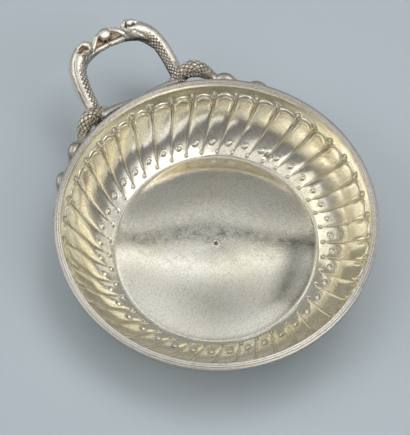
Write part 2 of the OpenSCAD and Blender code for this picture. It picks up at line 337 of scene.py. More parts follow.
# columns of one flute lie closer together beside its ridges
steps = np.arange(flute_columns) / flute_columns
phase = steps - 0.75 * np.sin(2 * np.pi * steps) / (2 * np.pi)
ridge_angle = first_ridge + 2 * np.pi * np.arange(flute_count) / flute_count
ridge_angle = ridge_angle + np.radians(chance.uniform(-0.35, 0.35, flute_count))
next_ridge = np.append(ridge_angle[1:], ridge_angle[0] + 2 * np.pi)
flute_width = next_ridge - ridge_angle
column_phase = np.tile(phase, flute_count)
column_width = np.repeat(flute_width, flute_columns)
column_angle = (ridge_angle[:, None] + flute_width[:, None] * phase).ravel()
notch_z = rim_z - notch_below + chance.uniform(-0.3, 0.3, flute_count)
top_z = rim_z - arch_below + chance.uniform(-0.25, 0.25, flute_count)
notch_t, top_t = share_at_height(notch_z), share_at_height(top_z)
next_notch = np.append(notch_t[1:], notch_t[0])
notch_col = (notch_t[:, None] * (1 - phase) + next_notch[:, None] * phase).ravel()
top_col = np.repeat(top_t, flute_columns)
arch_col = notch_col + (top_col - notch_col) * np.sqrt(1 - (2 * column_phase - 1) ** 2)
foot_t = float(share_at_height(sheet + 0.4))

# rows run down the plain band, the flutes under their arches, and the foot of the wall
band_rows = 1 - (1 - np.arange(band_count) / band_count) ** 1.4
flute_rows = (np.arange(run_count) / run_count) ** 1.25
foot_rows = np.linspace(0, 1, foot_count)
band_t = band_rows[:, None] * arch_col
flutes_t = arch_col + flute_rows[:, None] * (foot_t - arch_col)
low_t = foot_t + foot_rows[:, None] * (1 - foot_t) + 0 * arch_col
wall_t = np.concatenate([band_t, flutes_t, low_t])
wall_run, wall_rz, normal = run_at(wall_t), wall_point(wall_t), wall_normal(wall_t)
wall_angle = column_angle + twist * np.clip((wall_t - notch_col) / (foot_t - notch_col), 0, 1)
half_width = column_width / 2 * wall_rz[..., 0]
from_middle = (2 * column_phase - 1) * half_width
from_ridge = np.where(column_phase < 0.5, column_phase, column_phase - 1) * 2 * half_width
notch_run, top_run, foot_run = run_at(notch_col), run_at(top_col), run_at(foot_t)
below_notch, from_crease = wall_run - notch_run, fine_run[-1] - wall_run

# distance inside a flute's outline, which is an arch above the notches and the ridges below them
above = np.maximum(notch_run - wall_run, 0)
arch_rise = np.maximum(notch_run - top_run, 0.5)
reach = np.sqrt((from_middle / half_width) ** 2 + (above / arch_rise) ** 2)
steep = np.sqrt((from_middle / half_width**2) ** 2 + (above / arch_rise**2) ** 2)
steep = steep / np.maximum(reach, tiny)
in_arch = (1 - reach) / np.maximum(steep, tiny)
inside = np.where(above > 0, in_arch, half_width - np.abs(from_middle))

# the flutes: ridges that rise towards the foot, and hollows between them
depth_of_flute = np.repeat(chance.uniform(0.85, 1.15, flute_count), flute_columns)
fade_foot = 1 - ease(0.80, 0.99, below_notch / (foot_run - notch_run))
ridge = ridge_high * ease(0, 3.5, below_notch) * fade_foot
hollow = hollow_deep * depth_of_flute * fade_foot
across = np.clip(inside / half_width, 0, 1)
broad = np.where(inside > 0, ridge - (ridge + hollow) * (1 - (1 - across) ** 2.8), 0.0)

# the fine work: the line round each flute, the second line in its arch, the pit between arches,
# and the pearls over the notches, near the feet of the flutes and on the feet of the ridges
arch_part = 1 - ease(0.5, 3.0, below_notch)
line = swell(inside, line_wide) * (line_high + 0.07 * arch_part) * fade_foot
second = arch_part * (0.13 * swell(inside - 0.95, line_wide) - 0.14 * swell(inside - 0.5, 0.2))
pit = -pit_deep * ease(-2.2, -0.6, below_notch) * ease(0.05, 0.3, -inside) * (above > 0)


def pearls(across_mm, down_mm, radius, height):
    """Raised domes, and 1 in the groove round each."""
    away = np.hypot(across_mm, down_mm)
    dome = height * np.sqrt(np.clip(1 - (away / radius) ** 2, 0, 1))
    return dome, swell(away - radius - 0.1, 0.16)


low_z = 2.45 + chance.uniform(-0.15, 0.15, flute_count)
low_run = np.repeat(run_at(share_at_height(low_z)), flute_columns)
hook_run = run_at(share_at_height(sheet + 0.45))
top_dome, top_ring = pearls(from_ridge, wall_run - (top_run + 0.1), radius=0.64, height=0.40)
low_dome, low_ring = pearls(from_middle, wall_run - low_run, radius=0.68, height=0.42)
hook_dome, hook_ring = pearls(from_ridge - 0.25, wall_run - hook_run, radius=0.4, height=0.2)
pearl_rings = top_ring + low_ring + hook_ring
fine = line + second + pit + top_dome + low_dome + hook_dome - ring_deep * pearl_rings

# hand work: slow waves in the sheet, the dent by the floor on the far right, and the steep foot of
# the wall with its soft bend into the floor
waves = 0.05 * np.sin(5 * wall_angle + 0.6 * wall_run)
waves = waves + 0.04 * np.sin(11 * wall_angle - 0.35 * wall_run + 1.0)
dent_x = (wall_angle - math.radians(31)) * wall_rz[..., 0]
dent_y = wall_run - (foot_run - 1.6)
dent_away = np.hypot(dent_x, dent_y)
dent = -0.25 * swell(dent_x, 2.6) * swell(dent_y, 2.4) - 0.4 * swell(dent_away, 0.8)
dent = dent + 0.12 * swell(dent_away - 1.5, 0.5)


def crease_fill(distance):
    """How far the soft bend between wall and floor stands off from a sharp corner."""
    slant = bend_slope * np.abs(distance)
    return np.sqrt(slant**2 + bend_fill**2) - slant


def around(radius, height, angle):
    """Points round the upright axis."""
    places = np.broadcast_arrays(radius * np.cos(angle), radius * np.sin(angle), height)
    return np.stack(places, -1)


foot_stand = foot_out * (1 - np.exp(-from_crease / foot_soft)) * ease(18, 4, from_crease)
waves = waves * ease(0, 3, wall_run) + dent + foot_stand + crease_fill(from_crease)
inner_wall = wall_rz - (broad + fine + waves)[..., None] * normal
outer_wall = wall_rz + (sheet - broad)[..., None] * normal
inner_rings = around(inner_wall[..., 0], inner_wall[..., 1], wall_angle)
flutes_end = band_count + run_count
wall_end = flutes_end + foot_count - 1
outer_rows = np.r_[0:band_count:5, band_count:flutes_end:2, flutes_end:wall_end:3]
outer_rings = around(outer_wall[..., 0], outer_wall[..., 1], wall_angle)[outer_rows]
outer_rings[0] = around(rim_r - 0.25, lip_z, column_angle)

# the floor, with closer rings at its edge and its middle, and the underside with its flat ring
floor_angle = column_angle + twist
edge_steps = [0.05, 0.15, 0.27, 0.4, 0.55, 0.72, 0.92, 1.15, 1.45, 1.85, 2.4, 3.1]
middle_radii = [1.3, 1.1, 0.95, 0.82, 0.72, 0.62, 0.5, 0.35, 0.18]
floor_radii = floor_r - np.append(edge_steps, np.linspace(4.0, 25.4, 34))
floor_radii = np.append(floor_radii, middle_radii)[:, None]
dome_z = sheet + dome_rise * (1 - (floor_radii / floor_r) ** 3)
punch = -punch_deep * np.clip(1 - floor_radii / punch_r, 0, 1)
punch = punch + 0.07 * swell(floor_radii - 0.75, 0.16)
warp = 0.03 * np.sin(3 * floor_angle + 0.25 * floor_radii) * floor_radii / floor_r
floor_z = dome_z + crease_fill(floor_r - floor_radii) + punch + warp * ease(27, 20, floor_radii)
floor_rings = around(floor_radii, floor_z, floor_angle)[::-1]
under_radii = np.array([27.8, 27.5, 25.6, 25.4, 24.9, 24.6, 22, 18, 12, 6, 1.0])[:, None]
under_z = np.where(under_radii > stand_r, 0.0, dome_rise * (1 - (under_radii / floor_r) ** 2))
under_rings = around(under_radii, under_z, floor_angle)
bowl_rings = np.concatenate([floor_rings, inner_rings[::-1], outer_rings, under_rings])
floor_middle, under_middle = (0, 0, sheet + dome_rise - punch_deep), (0, 0, dome_rise)
points, quads, fans = solid_of_rings(bowl_rings, floor_middle, under_middle)
bowl_mesh = shape_mesh("chased_bowl", points, quads[:, ::-1], fans[:, ::-1])

# dirt in the lines, pits and punch mark, yellow film, and duller gloss up the wall
wall_grime = np.maximum.reduce(
    [
        0.75 * swell(inside - 0.3, line_wide) * (0.4 + 0.6 * arch_part) * fade_foot,
        0.6 * np.clip(pearl_rings, 0, 1),
        np.clip(-pit / 0.2, 0, 1),
        0.8 * swell(dent_away, 0.9),
    ]
)
floor_grime = 1.0 * (floor_radii < 0.55) + 0 * floor_angle
wall_film = 0.75 + 0.25 * np.maximum(ease(6, 1, wall_run), ease(5, 2, from_crease))
floor_film = 0.7 + 0.2 * ease(24, 27, floor_radii) + 0 * floor_angle
plain = np.zeros((len(outer_rings) + len(under_rings), len(column_angle)))
for name, on_floor, on_wall, outside, middles in (
    ("grime", floor_grime, wall_grime, 0.0, [1.0, 0.0]),
    ("film", floor_film, wall_film, 0.8, [0.6, 0.8]),
    ("satin", 0 * floor_grime, ease(0, 1.5, from_crease), 1.0, [0.0, 1.0]),
):
    values = np.concatenate([on_floor[::-1], on_wall[::-1], plain + outside])
    mark(bowl_mesh, name, np.append(values.ravel(), middles))


def new_group(name, inputs, outputs):
    """An empty shader node group with named sockets: (name, kind, value)."""
    group = bpy.data.node_groups.new(name, "ShaderNodeTree")
    for label, kind, value in inputs:
        group.interface.new_socket(label, in_out="INPUT", socket_type=kind).default_value = value
    for label, kind in outputs:
        group.interface.new_socket(label, in_out="OUTPUT", socket_type=kind)
    given = group.nodes.new("NodeGroupInput").outputs
    return group, given, group.nodes.new("NodeGroupOutput").inputs


COLOUR, NUMBER = "NodeSocketColor", "NodeSocketFloat"
tarnish_and_shade_group, given, result = new_group(
    "tarnish_and_shade",
    [
        ("Polished", COLOUR, (0.9, 0.87, 0.79, 1)),
        ("Yellowed", COLOUR, (0.7, 0.62, 0.42, 1)),
        ("Blackened", COLOUR, (0.1, 0.08, 0.06, 1)),
        ("Grime", NUMBER, 0.0),
        ("Cloud Size", NUMBER, 120.0),
        ("Cloud Share", NUMBER, 0.5),
        ("Smooth", NUMBER, 0.22),
        ("Rough", NUMBER, 0.4),
    ],
    [("Color", COLOUR), ("Roughness", NUMBER)],
)
tree = tarnish_and_shade_group
spot = place(tree, "ShaderNodeTexCoord").outputs["Object"]
cloud = remap(tree, noise(tree, spot, given["Cloud Size"], 3.0), 0.2, 0.8)
film = reckon(tree, "MULTIPLY_01", cloud, given["Cloud Share"])
skin = blend(tree, film, given["Polished"], given["Yellowed"])
specks = remap(tree, noise(tree, spot, 2600.0, 2.0), 0.3, 0.7, 0.75, 1.15)
# the grime mask holds dirt, and on the handle and the wire also painted shade; both darken towards
# the blackened tone
dirt_and_shade = reckon(tree, "MULTIPLY_01", given["Grime"], specks)
pepper = remap(tree, noise(tree, spot, 2100.0, 4.0, 0.7), 0.52, 0.25, 0.0, 0.42)
skin = blend(tree, pepper, skin, given["Blackened"])
tree.links.new(blend(tree, dirt_and_shade, skin, given["Blackened"]), result["Color"])
patchy = remap(tree, noise(tree, spot, 420.0, 6.0, 0.65), 0.3, 0.7)
wear_and_shade = reckon(tree, "MAXIMUM", patchy, dirt_and_shade)
span = reckon(tree, "SUBTRACT", given["Rough"], given["Smooth"])
gloss = reckon(tree, "MULTIPLY_ADD", wear_and_shade, span, given["Smooth"])
tree.links.new(gloss, result["Roughness"])

hairline_group, given, result = new_group(
    "hairlines",
    [("Fineness", NUMBER, 5200.0), ("Length", NUMBER, 30.0), ("Grain", NUMBER, 0.5)],
    [("Height", NUMBER)],
)
tree = hairline_group
spot = place(tree, "ShaderNodeTexCoord").outputs["Object"]
total = None
for turned in (0.2, 1.3, 2.5):
    swung = place(tree, "ShaderNodeMapping", Vector=spot, Rotation=(0.0, 0.0, turned)).outputs[0]
    parts = place(tree, "ShaderNodeSeparateXYZ", Vector=swung).outputs
    short = reckon(tree, "DIVIDE", parts["X"], given["Length"])
    drawn = place(tree, "ShaderNodeCombineXYZ", X=short, Y=parts["Y"], Z=parts["Z"]).outputs[0]
    marks = remap(tree, noise(tree, drawn, given["Fineness"], 2.0), 0.62, 0.76)
    total = marks if total is None else reckon(tree, "MAXIMUM", total, marks)
grain = reckon(tree, "MULTIPLY", noise(tree, spot, 3800.0, 3.0), given["Grain"])
cuts = reckon(tree, "MULTIPLY", total, 0.5)
tree.links.new(reckon(tree, "SUBTRACT", grain, cuts), result["Height"])


def marked(tree, name):
    """What a mesh was marked with, for a material."""
    return place(tree, "ShaderNodeAttribute", {"attribute_name": name}).outputs["Fac"]


def silver(name, hairlines, relief=0.00002, **tarnish_and_shade):
    """Silver: tarnish, dirt and painted shade on its colour and gloss; hairlines in its surface."""
    material, tree, shader = new_material(name, metallic=1.0)
    wear_and_shade = {"node_tree": tarnish_and_shade_group, "name": "tarnish_and_shade"}
    tone = place(tree, "ShaderNodeGroup", wear_and_shade, Grime=marked(tree, "grime"), **tarnish_and_shade)
    drawn = {"node_tree": hairline_group, "name": "hairlines"}
    lines = place(tree, "ShaderNodeGroup", drawn, **hairlines).outputs["Height"]
    bump = place(tree, "ShaderNodeBump", Strength=1.0, Distance=relief, Height=lines)
    tree.links.new(tone.outputs["Color"], shader.inputs["Base Color"])
    tree.links.new(tone.outputs["Roughness"], shader.inputs["Roughness"])
    tree.links.new(bump.outputs["Normal"], shader.inputs["Normal"])
    return material


bowl_silver = silver(
    "bowl_silver",
    dict(Fineness=3600.0, Length=24.0, Grain=1.3),
    relief=0.000003,
    Polished=(0.975, 0.95, 0.875, 1),
    Yellowed=(0.875, 0.80, 0.565, 1),
    Blackened=(0.22, 0.18, 0.12, 1),
    Cloud_Size=60.0,
    Smooth=0.05,
    Rough=0.15,
)
tree = bowl_silver.node_tree
shader, tone = tree.nodes["Principled BSDF"], tree.nodes["tarnish_and_shade"]
tree.links.new(marked(tree, "film"), tone.inputs["Cloud Share"])
scratch_grey, satin_rough = (0.42, 0.39, 0.32, 1), 0.07
scratched = remap(tree, tree.nodes["hairlines"].outputs["Height"], 0.55, 0.0, 0.0, 0.48)
toned = blend(tree, scratched, tone.outputs["Color"], scratch_grey)
tree.links.new(toned, shader.inputs["Base Color"])
dulled = marked(tree, "satin")
dulled = reckon(tree, "MULTIPLY_ADD", dulled, satin_rough, tone.outputs["Roughness"])
tree.links.new(dulled, shader.inputs["Roughness"])
carry("chased_bowl", bowl_mesh, bowl_silver, "bowl_silver", "bowl")


# Rim wire. Silver wire drawn with three reeds, bent to a ring and soldered on the lip; the outer
# reeds are worn down by use.
wire_wide, wire_high, edge_drop, edge_r = 1.7, 1.6, 0.09, 0.26
reed_r, reed_slope, reed_deep, reed_sunk = 1.44 / 6, 0.05, 0.20, (0.03, 0.0, 0.02)
outer_r, wire_columns, skin_gap = rim_r - 0.005, 720, 0.01
top_arc = np.radians(np.linspace(172, 8, 9))
edge_arc = np.radians(np.linspace(100, 0, 8))
profile = []
for k, sunk in enumerate(reed_sunk):
    middle = rim_r - wire_wide + reed_r * (2 * k + 1)
    for a in top_arc:
        slope = reed_slope * (2 * k + 1 + math.cos(a)) * reed_r
        z = rim_z - sunk - slope - reed_deep * (1 - math.sin(a)) ** 2.5
        profile.append((middle + reed_r * math.cos(a) * 0.97, z))
edge_first = len(profile)
for a in edge_arc:
    z = rim_z - edge_drop - edge_r + edge_r * math.sin(a)
    profile.append((outer_r - edge_r + edge_r * math.cos(a), z))
profile += [(outer_r, z) for z in np.linspace(rim_z - 0.5, rim_z - 1.5, 6)]
profile += [(rim_r - 0.12, rim_z - wire_high), (rim_r - 1.6, rim_z - wire_high)]
profile += [(rim_r - 1.69, rim_z - 1.5)]
profile += [(rim_r - wire_wide, z) for z in np.linspace(rim_z - 1.3, rim_z - 0.5, 4)]
wire_angle = 2 * np.pi * np.arange(wire_columns) / wire_columns
sway = 0.03 * np.sin(3 * wire_angle + 0.4) + 0.02 * np.sin(8 * wire_angle + 2.0) - 0.05
wire_rings = np.stack(
    [around(r - skin_gap, z + sway * (z > rim_z - 1.0), wire_angle) for r, z in profile]
)
near = np.arange(len(profile) * wire_columns).reshape(len(profile), wire_columns)
beside = np.roll(near, -1, axis=1)
quads = np.stack([near, beside, np.roll(beside, -1, axis=0), np.roll(near, -1, axis=0)], -1)
wire_mesh = shape_mesh("reeded_wire", wire_rings.reshape(-1, 3), quads.reshape(-1, 4))

# dirt between the reeds, and painted shade on the last reed and down the outer edge
reed_dirt_and_shade = np.zeros(len(profile))
reed_points = len(top_arc)
reed_dirt_and_shade[0 : edge_first + 1 : reed_points] = 0.8
reed_dirt_and_shade[reed_points - 1 : edge_first : reed_points] = 0.8
# painted shade on the outermost reed
reed_dirt_and_shade[edge_first - reed_points + 1 : edge_first - 1] = 0.22
# painted shade down the outer edge, standing in for the shaded table that it mirrors
outer_part = np.arange(1, 15)
reed_dirt_and_shade[edge_first + outer_part] = np.interp(outer_part, [1, 6, 9], [0.3, 0.5, 0.65])
mark(wire_mesh, "grime", np.repeat(reed_dirt_and_shade, wire_columns))
wire_silver = silver(
    "wire_silver",
    dict(Length=12.0, Grain=0.6),
    relief=0.000006,
    Polished=(0.99, 0.955, 0.89, 1),
    Yellowed=(0.93, 0.85, 0.71, 1),
    Blackened=(0.14, 0.11, 0.08, 1),
    Cloud_Size=160.0,
    Cloud_Share=0.55,
    Smooth=0.12,
    Rough=0.28,
)
carry("reeded_wire", wire_mesh, wire_silver, "wire_silver", "rim_wire")


# Rim seam. The thin line of silver solder that ran in between the lip and the wire when the joint
# was heated. It is greyer and duller than the sheet.
def dress(node, material):
    """Gives a CAD node that stays in view its finish."""
    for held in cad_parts[node].material_slots:
        held.link = "OBJECT"
        held.material = material


seam_solder = silver(
    "seam_solder",
    dict(Length=4.0, Grain=0.8),
    Polished=(0.72, 0.70, 0.66, 1),
    Yellowed=(0.50, 0.45, 0.38, 1),
    Blackened=(0.1, 0.09, 0.08, 1),
    Cloud_Size=300.0,
    Cloud_Share=0.8,
    Smooth=0.32,
    Rough=0.5,
)
dress("rim_solder", seam_solder)


# Serpents. Each half of the handle is one silver casting, chased with scales: a leg that rises from
# the wall, a neck bent round the loop, a head that bites the bead, and a tail along the outside of
# the wall. Both are soldered to the bowl and differ a little in width. Dirt lies in the scales.
bead_at = np.array([0.0, rim_r + 18.8, rim_z + 4.5])
left_half, right_half = 12.1, 12.7
body_r, tail_r, seat_r = 2.1, 1.65, 1.62
leg_r, leg_z = rim_r + 0.7, rim_z - 3.19
loop_len, loop_square, loop_turn = 16.91, 0.52, np.radians(74)
tail_start, tail_end, tail_points, wave_step = 9.5, 65, 500, 13
head_top, half_gap, path_step = 26.09, 0.08, 0.3
loop_tilt = (bead_at[2] - leg_z) / (bead_at[1] - leg_r)
plane_up = np.array([0, -loop_tilt, 1]) / math.hypot(1, loop_tilt)
plane_out = np.array([0, 1, loop_tilt]) / math.hypot(1, loop_tilt)
upright = np.array([0, 0, 1.0])


def even(points, spacing):
    """The same path evenly spaced, with the share of the old path and the run at each point."""
    run = np.concatenate([[0], np.cumsum(np.linalg.norm(np.diff(points, axis=0), axis=1))])
    at = np.linspace(0, run[-1], int(run[-1] / spacing) + 1)
    shares = np.interp(at, run, np.linspace(0, 1, len(points)))
    return np.stack([np.interp(at, run, points[:, k]) for k in range(3)], -1), shares, at


def body_line(half_w):
    """Centre line of a leg and its neck, with the share of the path and the run at each point."""
    turned = loop_turn * np.linspace(0, 1, 900) ** 1.6
    u = loop_len * np.sin(turned) ** loop_square
    beside = half_w * np.cos(turned) ** loop_square
    loop = np.stack([beside, leg_r + u, leg_z + loop_tilt * u], -1)
    foot = loop[0] - np.array([1.0, 0.45])[:, None] * np.array([1.01, 1.49, 1.89])
    return even(np.concatenate([foot, loop]), path_step)


def tail_line(middle, half_wide, start, rise, out, first_top, wave_mid, wave_high):
    """Centre line, radius and run of a tail: a hump beside the leg, then waves along the wall."""
    angle = np.linspace(tail_start, tail_end, tail_points)
    from_start, from_hump = angle - tail_start, angle - middle
    share = from_start / (tail_end - tail_start)
    taper = 1.12 * (1 - share) ** 0.6 + 0.12
    radius = tail_r * np.minimum.reduce([0.35 + 0.2 * from_start, 1 + 0 * angle, taper])
    hump = np.cos(np.pi / 2 * from_hump / half_wide) ** 2
    hump = np.where(abs(from_hump) < half_wide, hump, 0)
    wave = wave_high * np.cos(2 * np.pi * (angle - first_top) / wave_step)
    wave = wave_mid - wave * np.minimum(1, 1.6 * (1 - share) + 0.2)
    depth = start + (wave - start) * np.clip(from_hump / half_wide, 0, 1) ** 2 - rise * hump
    r = rim_r + 0.03 + radius + out * hump - 0.45 * np.maximum(0, depth - 1.6)
    turned = np.radians(angle)
    path = np.stack([r * np.sin(turned), r * np.cos(turned), rim_z - depth], -1)
    line, shares, run = even(path, path_step)
    return line, np.interp(shares, np.linspace(0, 1, tail_points), radius), run


def line_frames(line, upward):
    """The ways beside and above a line at each of its points."""
    along = np.gradient(line, axis=0)
    along /= np.linalg.norm(along, axis=1, keepdims=True)
    beside = np.cross(along, upward)
    beside /= np.linalg.norm(beside, axis=1, keepdims=True)
    return beside, np.cross(beside, along)


def round_line(points, line, upward, nearest_point):
    """How far round a line each point lies, as an angle."""
    beside, above = line_frames(line, upward)
    offset = points - line[nearest_point]
    upwards = (offset * above[nearest_point]).sum(1)
    return np.arctan2(upwards, (offset * beside[nearest_point]).sum(1))


def tube(line, radius, upward):
    """Points and faces of a closed round tube."""
    sides = 28
    beside, above = line_frames(line, upward)
    angle = 2 * np.pi * np.arange(sides) / sides
    ring = beside[:, None] * np.cos(angle)[:, None] + above[:, None] * np.sin(angle)[:, None]
    return solid_of_rings(line[:, None] + radius[:, None, None] * ring, line[0], line[-1])


def ball(middle, radius, sides=16, tiers=9):
    """Points and faces of a ball."""
    angle = 2 * np.pi * np.arange(sides) / sides
    tilts = np.linspace(-1.36, 1.36, tiers)
    rings = [middle + radius * around(np.cos(t), np.sin(t), angle) for t in tilts]
    return solid_of_rings(np.stack(rings), middle - (0, 0, radius), middle + (0, 0, radius))


def balls_along(stops, flat=1.0):
    """A close row of balls through stops of (x, y, z, radius), flattened on the handle's plane."""
    stops, fineness = np.array(stops, float), 12
    last = len(stops) - 1
    shares = np.linspace(0, last, fineness * last + 1)
    row = np.stack([np.interp(shares, np.arange(last + 1), stops[:, k]) for k in range(4)], -1)
    solids = []
    for stop in row:
        points, quads, fans = ball(stop[:3], stop[3])
        height = (points - stop[:3]) @ plane_up
        solids.append((points - (1 - flat) * height[:, None] * plane_up, quads, fans))
    return solids


def in_handle(stops):
    """Stops given in the handle's plane as (side, out from the bead, above the plane, radius)."""
    side, out, height, radius = np.array(stops, float).T
    places = bead_at + side[:, None] * np.array([1, 0, 0]) + out[:, None] * plane_out
    return np.column_stack([places + height[:, None] * plane_up, radius])


def fuse(name, solids, voxel, rounds):
    """Joins overlapping solids into one smooth skin: points, faces, edges and normals, in mm."""
    points, quads, fans, base = [], [], [], 0
    for part_points, part_quads, part_fans in solids:
        points.append(part_points)
        quads.append(part_quads + base)
        fans.append(part_fans + base)
        base += len(part_points)
    points, quads, fans = (np.concatenate(parts) for parts in (points, quads, fans))
    mesh = shape_mesh(name, points / MM, quads, fans)
    lump = bpy.data.objects.new(name, mesh)
    bpy.context.scene.collection.objects.link(lump)
    remesh = lump.modifiers.new("skin", "REMESH")
    remesh.mode, remesh.voxel_size = "VOXEL", voxel
    smooth = lump.modifiers.new("smooth", "SMOOTH")
    smooth.factor, smooth.iterations = 0.5, rounds
    skin = lump.evaluated_get(bpy.context.evaluated_depsgraph_get()).to_mesh()

    def read(rows, label, width, kind):
        values = np.empty(len(rows) * width, kind)
        rows.foreach_get(label, values)
        return values

    points = read(skin.vertices, "co", 3, np.float32).reshape(-1, 3).astype(float)
    normals = read(skin.vertices, "normal", 3, np.float32).reshape(-1, 3).astype(float)
    faces = read(skin.loops, "vertex_index", 1, np.int32).reshape(-1, 4)
    edges = read(skin.edges, "vertices", 2, np.int32).reshape(-1, 2)
    bpy.data.objects.remove(lump)
    bpy.data.meshes.remove(mesh)
    return points, faces, edges, normals


def nearest(points, line):
    """For each point, the number of the nearest point of a line and the distance to it."""
    batch = 20000
    index, away = np.empty(len(points), int), np.empty(len(points))
    for start in range(0, len(points), batch):
        part = slice(start, start + batch)
        gaps = ((points[part][:, None] - line[None]) ** 2).sum(-1)
        index[part], away[part] = gaps.argmin(1), np.sqrt(gaps.min(1))
    return index, away


def spread(values, edges, rounds):
    """Averages values with their neighbours, several times."""
    count = len(values)
    both = np.concatenate([edges, edges[:, ::-1]])
    degree = np.bincount(both[:, 0], minlength=count)
    for _ in range(rounds):
        mean = np.bincount(both[:, 0], weights=values[both[:, 1]], minlength=count) / degree
        values = 0.5 * values + 0.5 * mean
    return values


def crevices(points, normals, edges, rounds):
    """How far each point lies below its neighbours, along its own normal."""
    softened = np.stack([spread(points[:, k], edges, rounds) for k in range(3)], -1)
    return ((softened - points) * normals).sum(1)


def scales(along_mm, across_mm, pitch, cut_from):
    """Diamond scales cut by two sets of crossing lines: 1 in the cuts and 0 on the scales."""
    one = np.abs(2 * np.mod((along_mm + across_mm) / pitch, 1) - 1)
    two = np.abs(2 * np.mod((along_mm - across_mm) / pitch, 1) - 1)
    return ease(cut_from, 0.92, np.maximum(one, two))


def ripple(points, pitch, draw):
    """Uneven hand finish: a sum of waves that run in many directions, about 1 high."""
    total = np.zeros(len(points))
    for _ in range(9):
        way = draw.normal(size=3)
        phase = points @ (way / np.linalg.norm(way)) * 2 * np.pi / pitch
        total += np.sin(phase * draw.uniform(0.6, 1.5) + draw.uniform(0, 6.3))
    return total / 3


def from_path(places, path):
    """Distance from flat places to a path of straight steps."""
    path, best = np.array(path, float), np.full(len(places), 1e9)
    for start, end in zip(path[:-1], path[1:]):
        step = end - start
        share = np.clip(((places - start) @ step) / (step @ step), 0, 1)
        best = np.minimum(best, np.linalg.norm(places - start - share[:, None] * step, axis=1))
    return best


cast_silver = silver(
    "cast_silver",
    dict(Length=10.0, Grain=0.9),
    Polished=(0.94, 0.90, 0.82, 1),
    Yellowed=(0.76, 0.64, 0.45, 1),
    Blackened=(0.05, 0.036, 0.024, 1),
    Cloud_Size=260.0,
    Cloud_Share=0.45,
    Smooth=0.15,
    Rough=0.36,
)
tree = cast_silver.node_tree
rust_brown = (0.56, 0.28, 0.11, 1)
toned = blend(tree, marked(tree, "rust"), tree.nodes["tarnish_and_shade"].outputs["Color"], rust_brown)
tree.links.new(toned, tree.nodes["Principled BSDF"].inputs["Base Color"])


